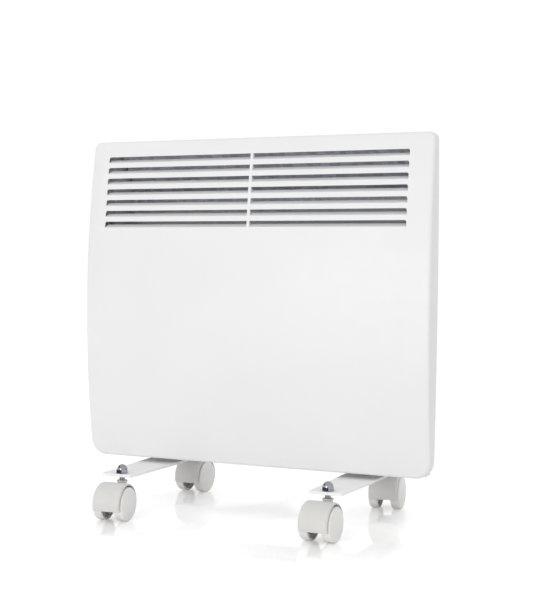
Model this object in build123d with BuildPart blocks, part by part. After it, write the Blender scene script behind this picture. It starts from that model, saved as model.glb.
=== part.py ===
from build123d import *
import os
from math import asin, cos, hypot, radians, sin, sqrt

# A 1000 W panel convector heater standing on a castor kit.
# Millimetres. +X is to the right seen from the front, -Y is the front, +Z is up.
# z = 0 is the floor, x = 0 the middle of the panel, y = 0 the middle of the footprint.

os.makedirs("parts", exist_ok=True)

# ---- driving dimensions -------------------------------------------------------------

# Front panel: one deep-drawn steel shell with a bowed front and barrelled sides.
PANEL_WIDTH = 460.0
PANEL_HEIGHT = 400.0
PANEL_BOTTOM = 59.0  # height of its lower edge above the floor
PANEL_FRONT_Y = -6.0  # its lower front edge
LEAN = radians(1.8)  # the panel leans back, the rear wall stays upright
BULGE = 16.0  # rise of the front skin between its upper and lower edges
BARREL = 1.5  # each side edge bows outwards by this much
FLANGE_DEPTH = 12.0  # side wall behind the edge line; the bow adds to it
SHEET = 1.0
FRONT_BEND = 4.0
TOP_CORNER = 9.0
BOTTOM_CORNER = 20.0
LIP = 9.0  # inturned lip round the back of the panel

# Louvres: vanes lanced out of the front skin and bent inwards about their lower edge.
LOUVRE_ROWS = 7
LOUVRE_PITCH = 13.73
LOUVRE_TOP_BEND = 372.9  # bend line of the top row, above the panel's lower edge
LOUVRE_CENTRE_X = -3.0
LOUVRE_LENGTH = 403.6
LOUVRE_CUT = 7.6  # height of each opening in the skin
VANE_DEPTH = 6.05
VANE_RISE = 4.6
DIVIDER_WIDTH = 3.6
SLOT_CORNER = 2.5

# Rear case: a pan with an upright back, and a rim that closes the panel's back.
CASE_HALF_WIDTH = 206.0
CASE_BACK_Y = 66.0
CASE_BOTTOM = 53.0
CASE_FLAT_Y = 44.0  # in front of this the underside slopes up to the panel
CASE_FRONT_LOW = 26.0  # the pan's opening, measured up the leaning rim
CASE_FRONT_HIGH = 387.0
CASE_CORNER = 6.0
RIM_INSET = 2.5
INLET_LENGTH = 26.0
INLET_WIDTH = 3.2
INLET_PITCH = 8.0
INLET_Y = 24.0
WALL_SLOT_LENGTH = 20.0
WALL_SLOT_WIDTH = 5.0
WALL_SLOT_SPACING_X = 250.0
WALL_SLOT_SPACING_Z = 270.0
WALL_SLOT_CENTRE_Z = 215.0

# Controls on the left wall of the case, seen from the front.
CONTROL_Y = 40.0
KNOB_Z = 176.0
ROCKER_Z = 128.0
BEZEL_THICKNESS = 2.5
KNOB_RADIUS = 15.0
KNOB_HEIGHT = 12.0
SHAFT_RADIUS = 3.0
ROCKER_REST_TILT = 7.0  # degrees either side of level

# Heating element and what carries it.
ELEMENT_Y = 34.0
ELEMENT_Z = 150.0
ELEMENT_LENGTH = 320.0
SHEATH_RADIUS = 5.0
SHEATH_LENGTH = 368.0
BRACKET_X = 172.0
SHIELD_Y = 57.0
SHIELD_HALF_WIDTH = 190.0
SHIELD_LOW = 110.0
SHIELD_HIGH = 320.0

# Cord entry: only the bush, since no cord is shown.
INLET_BUSH_X = -100.0
INLET_BUSH_Z = 80.0
INLET_BUSH_BORE = 3.6

# Castor kit: two flat plates across the underside, one castor at each end of each.
STEM_X = 134.5
STEM_FRONT_Y = -86.0
STEM_REAR_Y = 121.0
STEM_RADIUS = 4.0
STEM_NECK = 3.4
PLATE_SHIFTS = {-1: -3.0, 1: 0.0}  # from the stems to the middle of the left and right plate
PLATE_WIDTH = 48.6
PLATE_END_WIDTH = 40.6  # the plates narrow towards both ends
PLATE_TAPER_LENGTH = 105.0
PLATE_TOP = CASE_BOTTOM
PLATE_THICKNESS = 2.0
PLATE_DEPTH = 3.2  # with the turned-down edge
PLATE_FRONT_Y = -95.5
PLATE_REAR_Y = 131.0
PLATE_CORNER = 3.0

# Castor: twin wheels under a drum-shaped hood, trailing towards the front.
TRAIL = 20.0
WHEEL_RADIUS = 20.0
WHEEL_FACE = 19.8  # where the tread's rounded edge meets the face, from the stem
WHEEL_ROUND = 2.2
WHEEL_DOME = 1.7
AXLE_RADIUS = 2.0
AXLE_HALF = 17.6
HOOD_RADIUS = 24.5
HOOD_BORE = 22.4
HOOD_HALF = 18.0
HOOD_ROUND = 3.0
CORE_HALF = 7.0
SKIRT_HEIGHT = 14.2
NECK_RADIUS = 5.2
COLLAR_RADIUS = 6.6
COLLAR_LOW = 40.0
HOOD_TOP = 44.8
RUNNING = 0.05  # radial clearance of everything that turns

# Castor name: stem x, stem y, swivel in degrees as it stands.
CASTORS = {
    "front_left": (-STEM_X, STEM_FRONT_Y, 4.0),
    "front_right": (STEM_X, STEM_FRONT_Y, -1.0),
    "rear_left": (-STEM_X, STEM_REAR_Y, -2.0),
    "rear_right": (STEM_X, STEM_REAR_Y, 6.5),
}

# ---- derived ------------------------------------------------------------------------

BOW_RADIUS = ((PANEL_HEIGHT / 2) ** 2 + BULGE**2) / (2 * BULGE)
VANE_LENGTH = hypot(VANE_DEPTH, VANE_RISE)
RIM_DEPTH = FLANGE_DEPTH
PLATE_BOTTOM = PLATE_TOP - PLATE_THICKNESS
CASE_INNER = CASE_HALF_WIDTH - SHEET
PANEL_SCREWS = [(side * 218, height) for side in (-1, 1) for height in (60, 200, 340)]
PANEL_SCREWS += [(x, 393.4) for x in (-120, 120)]
PANEL_SCREW_RADIUS = 1.5
PLATE_SCREWS = [
    (side * STEM_X + PLATE_SHIFTS[side] + dx, y) for side in (-1, 1) for dx in (-12, 12) for y in (48, 60)
]


def save(builder, node):
    """Labels a finished piece and writes its STEP file."""
    builder.part.label = node
    export_step(builder.part, f"parts/{node}.step")


def lean_plane(depth=0.0):
    """Plane along the leaning panel, depth behind its front edge line; X right, Y up, Z out."""
    front = Plane((0, PANEL_FRONT_Y, PANEL_BOTTOM), x_dir=(1, 0, 0), z_dir=(0, -cos(LEAN), sin(LEAN)))
    return front.offset(-depth)


def lean_section(x=0.0):
    """Upright section of the leaning panel; X runs back, Y up the panel, Z to the right."""
    return Plane((x, PANEL_FRONT_Y, PANEL_BOTTOM), x_dir=(0, cos(LEAN), -sin(LEAN)), z_dir=(1, 0, 0))


def lean_point(depth, height):
    """(y, z) of a point at a depth behind the edge line and a height up the panel."""
    point = lean_plane(depth).from_local_coords((0, height, 0))
    return (point.Y, point.Z)


def row_plane(row):
    """Plane tangent to the front skin at the bend line of a louvre row, counted from the top."""
    height = LOUVRE_TOP_BEND - row * LOUVRE_PITCH
    angle = asin((height - PANEL_HEIGHT / 2) / BOW_RADIUS)
    depth = BOW_RADIUS * (1 - cos(angle)) - BULGE
    origin = lean_plane(depth).from_local_coords((0, height, 0))
    tilt = LEAN + angle
    return Plane(origin, x_dir=(1, 0, 0), z_dir=(0, -cos(tilt), sin(tilt)))


def row_section(row, x):
    """Upright section of a louvre row at x; X runs inwards, Y up the skin."""
    skin = row_plane(row)
    return Plane(skin.origin + Vector(x, 0, 0), x_dir=-skin.z_dir, z_dir=(1, 0, 0))


def cross_slots(spots, span=3.6, width=0.9):
    """Cross-shaped driver recesses at some places of the sketch in hand."""
    with BuildSketch() as crosses:
        with Locations(*spots):
            Rectangle(span, width)
            Rectangle(width, span)
    return crosses.sketch


def panel_outline(depth, inset=0.0):
    """The panel seen from the front: barrelled sides, small top corners, large bottom ones."""
    side = PANEL_WIDTH / 2 - BARREL
    with BuildSketch(lean_plane(depth)) as outline:
        with BuildLine():
            Line((-side, 0), (side, 0))
            ThreePointArc((side, 0), (PANEL_WIDTH / 2, PANEL_HEIGHT / 2), (side, PANEL_HEIGHT))
            Line((side, PANEL_HEIGHT), (-side, PANEL_HEIGHT))
            ThreePointArc((-side, PANEL_HEIGHT), (-PANEL_WIDTH / 2, PANEL_HEIGHT / 2), (-side, 0))
        make_face()
        fillet(outline.vertices().group_by(Axis.Y)[-1], radius=TOP_CORNER)
        fillet(outline.vertices().group_by(Axis.Y)[0], radius=BOTTOM_CORNER)
        if inset:
            offset(amount=-inset, mode=Mode.REPLACE)
    return outline.sketch


# ---- casing -------------------------------------------------------------------------


def build_front_panel():
    """Bowed front shell with its louvred outlet and inturned rear lip."""
    divider_gap = DIVIDER_WIDTH / 2
    slot_half = LOUVRE_LENGTH / 2
    slot_length = slot_half - divider_gap
    with BuildPart() as panel:
        with BuildSketch(lean_section()):
            with BuildLine():
                ThreePointArc((0, 0), (-BULGE, PANEL_HEIGHT / 2), (0, PANEL_HEIGHT))
                Polyline((0, PANEL_HEIGHT), (FLANGE_DEPTH, PANEL_HEIGHT), (FLANGE_DEPTH, 0), (0, 0))
            make_face()
        extrude(amount=PANEL_WIDTH / 2, both=True)
        extrude(panel_outline(FLANGE_DEPTH), amount=2 * (FLANGE_DEPTH + BULGE), mode=Mode.INTERSECT)
        skin = panel.faces().filter_by(GeomType.CYLINDER).sort_by(SortBy.AREA)[-1]
        fillet(skin.edges(), radius=FRONT_BEND)
        back = panel.faces().filter_by(GeomType.PLANE).sort_by(SortBy.AREA)[-1]
        offset(amount=-SHEET, openings=back)

        lip_outer = panel_outline(FLANGE_DEPTH, SHEET / 2)
        lip_inner = panel_outline(FLANGE_DEPTH, LIP)
        extrude(lip_outer - lip_inner, amount=SHEET)
        with BuildSketch(lean_plane(FLANGE_DEPTH)):
            with Locations(*PANEL_SCREWS):
                Circle(PANEL_SCREW_RADIUS)
        extrude(amount=2 * SHEET, mode=Mode.SUBTRACT)

        for row in range(LOUVRE_ROWS):
            with BuildSketch(row_plane(row).offset(SHEET)):
                for side in (-1, 1):
                    near = LOUVRE_CENTRE_X + side * divider_gap
                    far = LOUVRE_CENTRE_X + side * slot_half
                    middle = (near + far) / 2
                    with Locations((middle, LOUVRE_CUT / 2)):
                        opening = Rectangle(slot_length, LOUVRE_CUT)
                    corner = opening.vertices().sort_by_distance((far, LOUVRE_CUT))[0]
                    fillet(corner, radius=SLOT_CORNER)
            extrude(amount=-3 * SHEET, mode=Mode.SUBTRACT)

        drop_x = SHEET * VANE_RISE / VANE_LENGTH
        drop_y = SHEET * VANE_DEPTH / VANE_LENGTH
        for row in range(LOUVRE_ROWS):
            with BuildSketch(row_section(row, LOUVRE_CENTRE_X)):
                with BuildLine():
                    Polyline(
                        (0.15, 0.11),
                        (VANE_DEPTH, VANE_RISE),
                        (VANE_DEPTH + drop_x, VANE_RISE - drop_y),
                        (drop_x, -drop_y),
                        (0.15, -drop_y),
                        close=True,
                    )
                make_face()
            extrude(amount=LOUVRE_LENGTH / 2, both=True)
            with BuildSketch(row_section(row, LOUVRE_CENTRE_X)):
                with BuildLine():
                    Polyline(
                        (SHEET / 2, 0),
                        (VANE_DEPTH, VANE_RISE),
                        (SHEET / 2, LOUVRE_CUT),
                        close=True,
                    )
                make_face()
            extrude(amount=divider_gap, both=True)
    save(panel, "front_panel")
    return panel


def build_rear_case():
    """Folded steel pan with an upright back, sloping intake and a rim behind the panel."""
    front_low = lean_point(RIM_DEPTH, CASE_FRONT_LOW)
    front_high = lean_point(RIM_DEPTH, CASE_FRONT_HIGH)
    with BuildPart() as case:
        with BuildSketch(Plane.YZ):
            with BuildLine():
                Polyline(
                    front_low,
                    (CASE_FLAT_Y, CASE_BOTTOM),
                    (CASE_BACK_Y, CASE_BOTTOM),
                    (CASE_BACK_Y, front_high[1]),
                    front_high,
                    close=True,
                )
            make_face()
        extrude(amount=CASE_HALF_WIDTH, both=True)
        fillet(case.edges().filter_by(Axis.Z).group_by(Axis.Y)[-1], radius=CASE_CORNER)
        mouth = case.faces().sort_by(Axis.Y)[0]
        offset(amount=-SHEET, openings=mouth)

        with BuildSketch(lean_plane(RIM_DEPTH)) as window:
            with Locations((0, (CASE_FRONT_LOW + CASE_FRONT_HIGH) / 2)):
                Rectangle(2 * CASE_INNER, CASE_FRONT_HIGH - CASE_FRONT_LOW - 3 * SHEET)
        extrude(panel_outline(RIM_DEPTH, RIM_INSET) - window.sketch, amount=-SHEET)
        with BuildSketch(lean_plane(RIM_DEPTH)):
            with Locations(*PANEL_SCREWS):
                Circle(PANEL_SCREW_RADIUS)
        extrude(amount=-2 * SHEET, mode=Mode.SUBTRACT)

        with BuildSketch(Plane.XY.offset(CASE_BOTTOM - 3)):
            for centre, count in ((0, 27), (-180, 5), (180, 5)):
                with Locations((centre, INLET_Y)):
                    with GridLocations(INLET_PITCH, 1, count, 1):
                        SlotOverall(INLET_LENGTH, INLET_WIDTH, rotation=90)
        extrude(amount=34, mode=Mode.SUBTRACT)

        with BuildSketch(Plane.XY.offset(CASE_BOTTOM - 3)):
            with Locations(*PLATE_SCREWS):
                Circle(2.0)
        extrude(amount=6, mode=Mode.SUBTRACT)

        with BuildSketch(Plane.XZ.offset(-CASE_BACK_Y - 2)):
            with Locations((0, WALL_SLOT_CENTRE_Z)):
                with GridLocations(WALL_SLOT_SPACING_X, WALL_SLOT_SPACING_Z, 2, 2):
                    SlotOverall(WALL_SLOT_LENGTH, WALL_SLOT_WIDTH)
            with Locations((INLET_BUSH_X, INLET_BUSH_Z)):
                Circle(6.5)
        extrude(amount=6, mode=Mode.SUBTRACT)

        with BuildSketch(Plane.YZ.offset(-CASE_HALF_WIDTH - 2)):
            with Locations((CONTROL_Y, KNOB_Z)):
                Circle(SHAFT_RADIUS + 0.6)
            with Locations((CONTROL_Y, ROCKER_Z)):
                Rectangle(12.8, 19.2)
        extrude(amount=6, mode=Mode.SUBTRACT)
    save(case, "rear_case")
    return case


def build_panel_screws():
    """Pan-head screws that hold the case's rim to the panel's lip."""
    with BuildPart() as screws:
        with BuildSketch(lean_plane(RIM_DEPTH + SHEET)):
            with Locations(*PANEL_SCREWS):
                Circle(3.5)
        extrude(amount=-2.2)
        tops = screws.faces().filter_by(GeomType.PLANE).filter_by(lambda face: face.normal_at().Y > 0.9)
        fillet(tops.edges(), radius=1.2)
        with BuildSketch(lean_plane(RIM_DEPTH + SHEET)):
            with Locations(*PANEL_SCREWS):
                Circle(PANEL_SCREW_RADIUS)
        extrude(amount=5)
        with BuildSketch(lean_plane(RIM_DEPTH + SHEET + 2.2)):
            add(cross_slots(PANEL_SCREWS))
        extrude(amount=1.2, mode=Mode.SUBTRACT)
    save(screws, "panel_screws")
    return screws


def build_air_guide():
    """Sloping sheet under the top of the case that turns the warm air to the louvres."""
    with BuildPart() as guide:
        with BuildSketch(Plane.YZ):
            with BuildLine():
                path = FilletPolyline((64.6, 371), (64.6, 391), (30, 437), (23, 442.6), radius=6)
            trace(path, line_width=0.8)
        extrude(amount=CASE_INNER - CASE_CORNER, both=True)
    save(guide, "air_guide")
    return guide


def build_heat_shield():
    """Folded sheet that keeps the element's heat off the rear wall."""
    with BuildPart() as shield:
        with BuildSketch(Plane.YZ):
            with BuildLine():
                path = FilletPolyline(
                    (64.6, SHIELD_LOW - 12),
                    (64.6, SHIELD_LOW),
                    (SHIELD_Y + 0.4, SHIELD_LOW + 8),
                    (SHIELD_Y + 0.4, SHIELD_HIGH - 8),
                    (64.6, SHIELD_HIGH),
                    (64.6, SHIELD_HIGH + 12),
                    radius=2,
                )
            trace(path, line_width=0.8)
        extrude(amount=SHIELD_HALF_WIDTH, both=True)
    save(shield, "heat_shield")
    return shield


# ---- heating element ----------------------------------------------------------------


def build_element_fins():
    """Extruded aluminium block: a sleeve on the sheath with ten radiating fins."""
    left_end = Plane((-ELEMENT_LENGTH / 2, ELEMENT_Y, ELEMENT_Z), x_dir=(0, 1, 0), z_dir=(1, 0, 0))
    with BuildPart() as fins:
        with BuildSketch(left_end):
            Circle(SHEATH_RADIUS + 3)
            for angle, reach in ((90, 30), (62, 32), (38, 22), (14, 17)):
                for lean in {angle, 180 - angle, -angle, angle - 180}:
                    with Locations(Location((0, 0, 0), (0, 0, lean))):
                        Rectangle(reach, 1.6, align=(Align.MIN, Align.CENTER))
            Circle(SHEATH_RADIUS, mode=Mode.SUBTRACT)
        extrude(amount=ELEMENT_LENGTH)
    save(fins, "element_fins")
    return fins


def build_element_sheath():
    """Stainless sheath with a cold pin at each end."""
    with BuildPart() as sheath:
        for radius, length in ((SHEATH_RADIUS, SHEATH_LENGTH), (1.6, SHEATH_LENGTH + 20)):
            with BuildSketch(Plane((0, ELEMENT_Y, ELEMENT_Z), x_dir=(0, 1, 0), z_dir=(1, 0, 0))):
                Circle(radius)
            extrude(amount=length / 2, both=True)
    save(sheath, "element_sheath")
    return sheath


def build_element_insulators():
    """Flanged ceramic bushes where the sheath passes through its brackets."""
    with BuildPart() as bushes:
        for side in (-1, 1):
            for start, length, radius in ((BRACKET_X, 1.2, 6.4), (BRACKET_X + 1.2, 3.2, 8.5)):
                with BuildSketch(
                    Plane((side * start, ELEMENT_Y, ELEMENT_Z), x_dir=(0, 1, 0), z_dir=(1, 0, 0))
                ):
                    Circle(radius)
                    Circle(SHEATH_RADIUS, mode=Mode.SUBTRACT)
                extrude(amount=side * length)
    save(bushes, "element_insulators")
    return bushes


def build_element_bracket(side, node):
    """Bent bracket that holds one end of the element off the heat shield."""
    inner = side * BRACKET_X
    thickness = 1.2
    with BuildPart() as bracket:
        with BuildSketch(Plane((inner, 0, 0), x_dir=(0, 1, 0), z_dir=(1, 0, 0))) as web:
            with Locations((SHIELD_Y - 19, ELEMENT_Z + 4)):
                Rectangle(38, 66)
            fillet(web.vertices().group_by(Axis.X)[0], radius=8)
            with Locations((ELEMENT_Y, ELEMENT_Z)):
                Circle(6.4, mode=Mode.SUBTRACT)
        extrude(amount=side * thickness)
        with BuildSketch(Plane((0, SHIELD_Y, 0), x_dir=(1, 0, 0), z_dir=(0, -1, 0))):
            with Locations((side * (BRACKET_X + 7), ELEMENT_Z + 4)):
                Rectangle(14, 66)
        extrude(amount=thickness)
    save(bracket, node)
    return bracket


def build_bracket_screws():
    """Self-tapping screws through the bracket feet into the heat shield."""
    with BuildPart() as screws:
        with BuildSketch(Plane.XZ.offset(-(SHIELD_Y - 1.2))):
            with Locations(*[(s * (BRACKET_X + 8), ELEMENT_Z + 4 + d) for s in (-1, 1) for d in (-26, 26)]):
                Circle(3)
        extrude(amount=1.8)
    save(screws, "bracket_screws")
    return screws


def build_overheat_cutout():
    """Bimetal disc cut-out on the right bracket, with its two tabs."""
    centre = (BRACKET_X + 1.2, ELEMENT_Y + 4, ELEMENT_Z + 24)
    with BuildPart() as cutout:
        with BuildSketch(Plane(centre, x_dir=(0, 1, 0), z_dir=(1, 0, 0))):
            Circle(8)
        extrude(amount=3)
        with BuildSketch(Plane((centre[0] + 3, centre[1], centre[2]), x_dir=(0, 1, 0), z_dir=(1, 0, 0))):
            Circle(6.8)
        extrude(amount=6)
        with BuildSketch(Plane((centre[0] + 9, centre[1], centre[2]), x_dir=(0, 1, 0), z_dir=(1, 0, 0))):
            with Locations((-3.4, 0), (3.4, 0)):
                Rectangle(0.8, 6.3)
        extrude(amount=8)
    save(cutout, "overheat_cutout")
    return cutout


# ---- electrical ---------------------------------------------------------------------


def build_thermostat_body():
    """Thermostat block behind the left wall, bored for the knob's shaft."""
    x_outer = -CASE_INNER
    with BuildPart() as body:
        with BuildSketch(Plane((x_outer, CONTROL_Y, KNOB_Z), x_dir=(0, 1, 0), z_dir=(1, 0, 0))):
            RectangleRounded(30, 30, 3)
        extrude(amount=14)
        with BuildSketch(Plane((x_outer + 14, CONTROL_Y, KNOB_Z), x_dir=(0, 1, 0), z_dir=(1, 0, 0))):
            with Locations((-9, 8), (-9, -8)):
                Rectangle(0.8, 6.3)
        extrude(amount=8)
        with BuildSketch(Plane((x_outer, CONTROL_Y, KNOB_Z), x_dir=(0, 1, 0), z_dir=(1, 0, 0))):
            Circle(SHAFT_RADIUS + RUNNING)
        extrude(amount=10, mode=Mode.SUBTRACT)
    save(body, "thermostat_body")
    return body


def build_control_bezel():
    """Moulded bezel on the left wall with the dial seat and the switch opening."""
    middle_z = (KNOB_Z + ROCKER_Z) / 2 + 2
    with BuildPart() as bezel:
        with BuildSketch(Plane((-CASE_HALF_WIDTH, CONTROL_Y, middle_z), x_dir=(0, -1, 0), z_dir=(-1, 0, 0))):
            RectangleRounded(38, 96, 7)
        extrude(amount=BEZEL_THICKNESS)
        outer = bezel.faces().sort_by(Axis.X)[0]
        fillet(outer.edges(), radius=1)
        with BuildSketch(
            Plane((-CASE_HALF_WIDTH - BEZEL_THICKNESS, CONTROL_Y, KNOB_Z), x_dir=(0, -1, 0), z_dir=(-1, 0, 0))
        ):
            Circle(KNOB_RADIUS + 1.2)
        extrude(amount=-0.8, mode=Mode.SUBTRACT)
        with BuildSketch(Plane((-CASE_HALF_WIDTH, CONTROL_Y, 0), x_dir=(0, -1, 0), z_dir=(-1, 0, 0))):
            with Locations((0, KNOB_Z)):
                Circle(SHAFT_RADIUS + 0.6)
            with Locations((0, ROCKER_Z)):
                Rectangle(12.8, 19.2)
        extrude(amount=BEZEL_THICKNESS, mode=Mode.SUBTRACT)
    save(bezel, "control_bezel")
    return bezel


def build_thermostat_knob():
    """Fluted dial knob with a raised pointer, moulded on its steel shaft."""
    seat_x = -CASE_HALF_WIDTH - BEZEL_THICKNESS + 0.4
    with BuildPart() as knob:
        with BuildSketch(Plane((seat_x, CONTROL_Y, KNOB_Z), x_dir=(0, -1, 0), z_dir=(-1, 0, 0))):
            Circle(KNOB_RADIUS)
            with PolarLocations(KNOB_RADIUS + 0.7, 20):
                Circle(1.5, mode=Mode.SUBTRACT)
        extrude(amount=KNOB_HEIGHT - 1.5, taper=2)
        with BuildSketch(
            Plane((seat_x - KNOB_HEIGHT + 1.5, CONTROL_Y, KNOB_Z), x_dir=(0, -1, 0), z_dir=(-1, 0, 0))
        ):
            Circle(KNOB_RADIUS - 3)
            with Locations((0, (KNOB_RADIUS - 3) / 2)):
                Rectangle(3, KNOB_RADIUS - 3)
        extrude(amount=1.5)
        with BuildSketch(Plane((seat_x, CONTROL_Y, KNOB_Z), x_dir=(0, -1, 0), z_dir=(-1, 0, 0))):
            Circle(SHAFT_RADIUS)
        extrude(amount=-12)
    save(knob, "thermostat_knob")
    return knob


def rocker_pivot():
    """Pivot of the rocker, just proud of the control bezel."""
    return (-CASE_HALF_WIDTH - BEZEL_THICKNESS + 0.3, CONTROL_Y, ROCKER_Z)


def build_switch_housing():
    """Snap-in switch body with a bezel, an open well and two pivot holes."""
    outer_x = -CASE_HALF_WIDTH - BEZEL_THICKNESS
    with BuildPart() as housing:
        with BuildSketch(Plane((outer_x, CONTROL_Y, ROCKER_Z), x_dir=(0, -1, 0), z_dir=(-1, 0, 0))):
            RectangleRounded(15.4, 21.6, 1.5)
        extrude(amount=2)
        with BuildSketch(Plane((outer_x, CONTROL_Y, ROCKER_Z), x_dir=(0, -1, 0), z_dir=(-1, 0, 0))):
            Rectangle(12.8, 19.2)
        extrude(amount=-18)
        with BuildSketch(Plane((outer_x - 2, CONTROL_Y, ROCKER_Z), x_dir=(0, -1, 0), z_dir=(-1, 0, 0))):
            Rectangle(10.8, 17.8)
        extrude(amount=-9, mode=Mode.SUBTRACT)
        with BuildSketch(Plane(rocker_pivot(), x_dir=(1, 0, 0), z_dir=(0, -1, 0))):
            Circle(1.4 + RUNNING)
        extrude(amount=6.2, both=True, mode=Mode.SUBTRACT)
        with BuildSketch(Plane((outer_x + 18, CONTROL_Y, ROCKER_Z), x_dir=(0, -1, 0), z_dir=(-1, 0, 0))):
            with Locations((0, 5), (0, -5)):
                Rectangle(6.3, 0.8)
        extrude(amount=-8)
    save(housing, "switch_housing")
    return housing


def build_switch_rocker():
    """Shallow V rocker with its two pivot pins, tilted to OFF."""
    x, y, z = rocker_pivot()
    tilt = radians(ROCKER_REST_TILT)
    lever = Plane((x, y, z), x_dir=(-cos(tilt), 0, -sin(tilt)), z_dir=(0, 1, 0))
    with BuildPart() as rocker:
        with BuildSketch(lever):
            with BuildLine():
                Polyline((1.2, -8.2), (3.2, -8.2), (2.2, 0), (3.2, 8.2), (1.2, 8.2), (-3, 0), close=True)
            make_face()
        extrude(amount=5.1, both=True)
        with BuildSketch(Plane((x, y, z), x_dir=(1, 0, 0), z_dir=(0, -1, 0))):
            Circle(1.4)
        extrude(amount=6.0, both=True)
    save(rocker, "switch_rocker")
    return rocker


def build_terminal_block():
    """Three-way terminal block on the rear wall beside the cord entry."""
    with BuildPart() as block:
        with BuildSketch(Plane.XZ.offset(-(CASE_BACK_Y - SHEET))):
            with Locations((-170, INLET_BUSH_Z)):
                Rectangle(34, 18)
        extrude(amount=8)
        with BuildSketch(Plane.XZ.offset(-(CASE_BACK_Y - SHEET - 8))):
            with Locations((-170, INLET_BUSH_Z)):
                with GridLocations(11, 1, 3, 1):
                    Rectangle(9, 14)
        extrude(amount=6)
        with BuildSketch(Plane.XZ.offset(-(CASE_BACK_Y - SHEET - 14))):
            with Locations((-170, INLET_BUSH_Z)):
                with GridLocations(11, 8, 3, 2):
                    Circle(2.2)
        extrude(amount=-8, mode=Mode.SUBTRACT)
    save(block, "terminal_block")
    return block


def build_cord_bush():
    """Moulded strain-relief bush in the rear wall; the cord's way in."""
    with BuildPart() as bush:
        with BuildSketch(Plane.XZ.offset(-(CASE_BACK_Y + 2.5))):
            with Locations((INLET_BUSH_X, INLET_BUSH_Z)):
                Circle(9.5)
        extrude(amount=2.5)
        fillet(bush.edges().filter_by(GeomType.CIRCLE).group_by(Axis.Y)[-1], radius=1)
        with BuildSketch(Plane.XZ.offset(-CASE_BACK_Y)):
            with Locations((INLET_BUSH_X, INLET_BUSH_Z)):
                Circle(6.5)
        extrude(amount=9)
        with BuildSketch(Plane.XZ.offset(-(CASE_BACK_Y + 3))):
            with Locations((INLET_BUSH_X, INLET_BUSH_Z)):
                Circle(INLET_BUSH_BORE)
        extrude(amount=14, mode=Mode.SUBTRACT)
    save(bush, "cord_bush")
    return bush


def build_earth_screw():
    """Earthing screw and its cup washer on the rear wall."""
    with BuildPart() as earth:
        for depth, radius, height in ((0, 5, 0.8), (0.8, 3.6, 2.4)):
            with BuildSketch(Plane.XZ.offset(-(CASE_BACK_Y - SHEET - depth))):
                with Locations((-146, INLET_BUSH_Z + 12)):
                    Circle(radius)
            extrude(amount=height)
    save(earth, "earth_screw")
    return earth


def build_internal_leads():
    """Insulated leads between the terminal block, switch, thermostat, cut-out and element."""
    radius = 1.2
    switch_back = -CASE_HALF_WIDTH - BEZEL_THICKNESS + 26
    thermostat_back = -CASE_INNER + 22
    cutout_tip = BRACKET_X + 1.2 + 17
    cutout_z = ELEMENT_Z + 24
    pin_end = SHEATH_LENGTH / 2 + 10
    mains_line = [
        (-175, 51, 84),
        (-175, 42, 84),
        (-175, 36, 96),
        (-175, 43, 133),
        (switch_back, 43, 133),
    ]
    switched_line = [
        (switch_back, 38, 123),
        (-179.5, 38, 123),
        (-179.5, 22, 135),
        (-179.5, 22, 184),
        (-179.5, 31, 184),
        (thermostat_back, 31, 184),
    ]
    heating_line = [
        (thermostat_back, 31, 168),
        (-178.5, 31, 168),
        (-178.5, 31, 160),
        (-188, ELEMENT_Y, 160),
        (-188, ELEMENT_Y, ELEMENT_Z + 1.6),
    ]
    element_return = [
        (cutout_tip, 34.6, cutout_z),
        (199, 34.6, cutout_z),
        (199, ELEMENT_Y, ELEMENT_Z),
        (pin_end, ELEMENT_Y, ELEMENT_Z),
    ]
    neutral = [
        (-164, 51, 76),
        (-164, 40, 76),
        (-150, 16, 84),
        (150, 16, 84),
        (196, 24, 100),
        (196, 41.4, 160),
        (196, 41.4, cutout_z),
        (cutout_tip, 41.4, cutout_z),
    ]
    with BuildPart() as leads:
        for points in (mains_line, switched_line, heating_line, element_return, neutral):
            start = Vector(*points[0])
            direction = (Vector(*points[1]) - start).normalized()
            with BuildLine() as route:
                FilletPolyline(*points, radius=2)
            with BuildSketch(Plane(start, z_dir=direction)):
                Circle(radius)
            sweep(path=route.line)
    save(leads, "internal_leads")
    return leads


# ---- castor kit ---------------------------------------------------------------------


def plate_outline(centre_x, inset=0.0):
    """A leg plate seen from above: it narrows towards both ends."""
    half = PLATE_WIDTH / 2
    end_half = PLATE_END_WIDTH / 2
    front = PLATE_FRONT_Y
    rear = PLATE_REAR_Y
    taper = PLATE_TAPER_LENGTH
    with BuildSketch() as outline:
        with BuildLine():
            Polyline(
                (centre_x - end_half, front),
                (centre_x + end_half, front),
                (centre_x + half, front + taper),
                (centre_x + half, rear - taper),
                (centre_x + end_half, rear),
                (centre_x - end_half, rear),
                (centre_x - half, rear - taper),
                (centre_x - half, front + taper),
                close=True,
            )
        make_face()
        fillet(outline.vertices().group_by(Axis.Y)[0], radius=PLATE_CORNER)
        fillet(outline.vertices().group_by(Axis.Y)[-1], radius=PLATE_CORNER)
        if inset:
            offset(amount=-inset, mode=Mode.REPLACE)
    return outline.sketch


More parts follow.
